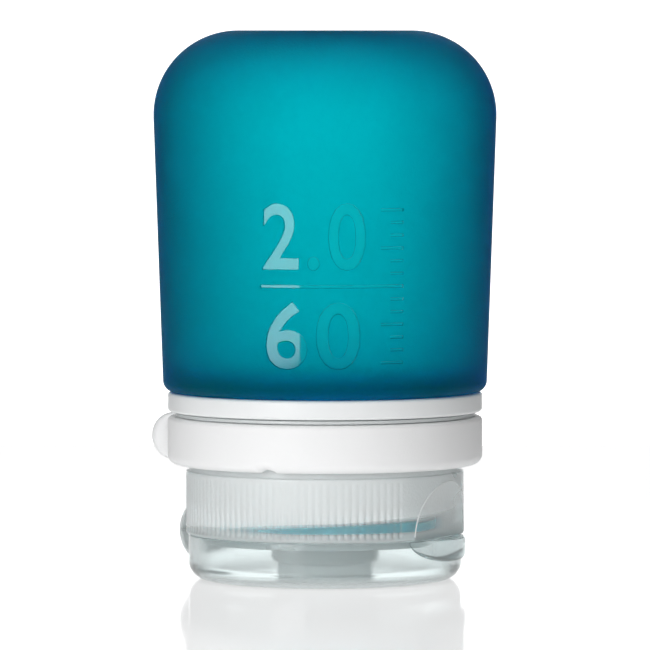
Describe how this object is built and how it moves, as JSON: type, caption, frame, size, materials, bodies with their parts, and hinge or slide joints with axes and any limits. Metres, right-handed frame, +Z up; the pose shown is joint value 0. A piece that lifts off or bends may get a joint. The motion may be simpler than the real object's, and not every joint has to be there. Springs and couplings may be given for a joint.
{
  "type": "travel squeeze bottle",
  "caption": "Small translucent silicone squeeze bottle that stands on a clear flip-top screw cap, with a rigid white neck collar and a soft white finger loop round the cap.",
  "frame": {"origin": "centre of the flip lid's flat outer face, which the bottle stands on", "axes": "+Z up along the bottle's axis to its closed end, -Y to the front, where the marking is, +X to the right seen from the front"},
  "size_m": [0.0451, 0.0446, 0.0714],
  "materials": {
    "body_silicone": "translucent teal silicone with a fine matte grain outside",
    "collar_plastic": "satin white polypropylene",
    "seal_silicone": "plain teal silicone",
    "cap_plastic": "clear polypropylene, frosted on the gripped skirt",
    "valve_silicone": "natural translucent silicone",
    "retainer_plastic": "natural white polypropylene",
    "lid_plastic": "clear glossy polypropylene",
    "loop_elastomer": "soft matte white elastomer"
  },
  "bodies": {
    "bottle": {"silicone_body": "body_silicone", "neck_collar": "collar_plastic"},
    "seal": {"cap_seal": "seal_silicone"},
    "cap": {"screw_cap": "cap_plastic", "slit_valve": "valve_silicone", "valve_retainer": "retainer_plastic"},
    "lid": {"flip_lid": "lid_plastic"},
    "loop": {"loop_band": "loop_elastomer"}
  },
  "joints": [
    {"name": "cap_lift", "type": "slide", "parent": "bottle", "child": "seal", "axis": [0, 0, -1], "range_m": [0, 0.014]},
    {"name": "cap_turn", "type": "hinge", "parent": "seal", "child": "cap", "pos_m": [0, 0, 0.0142], "axis": [0, 0, -1], "range_deg": [0, 1260]},
    {"name": "lid_flip", "type": "hinge", "parent": "cap", "child": "lid", "pos_m": [-0.01695, 0.00901, 0.00595], "axis": [0.4695, 0.8829, 0], "range_deg": [0, 165]},
    {"name": "loop_swivel", "type": "hinge", "parent": "cap", "child": "loop", "pos_m": [0, 0, 0.0181], "axis": [0, 0, 1], "continuous": true}
  ],
  "couplings": [
    {"joint": "cap_lift", "follows": "cap_turn", "m_per_rad": 0.00063662}
  ]
}
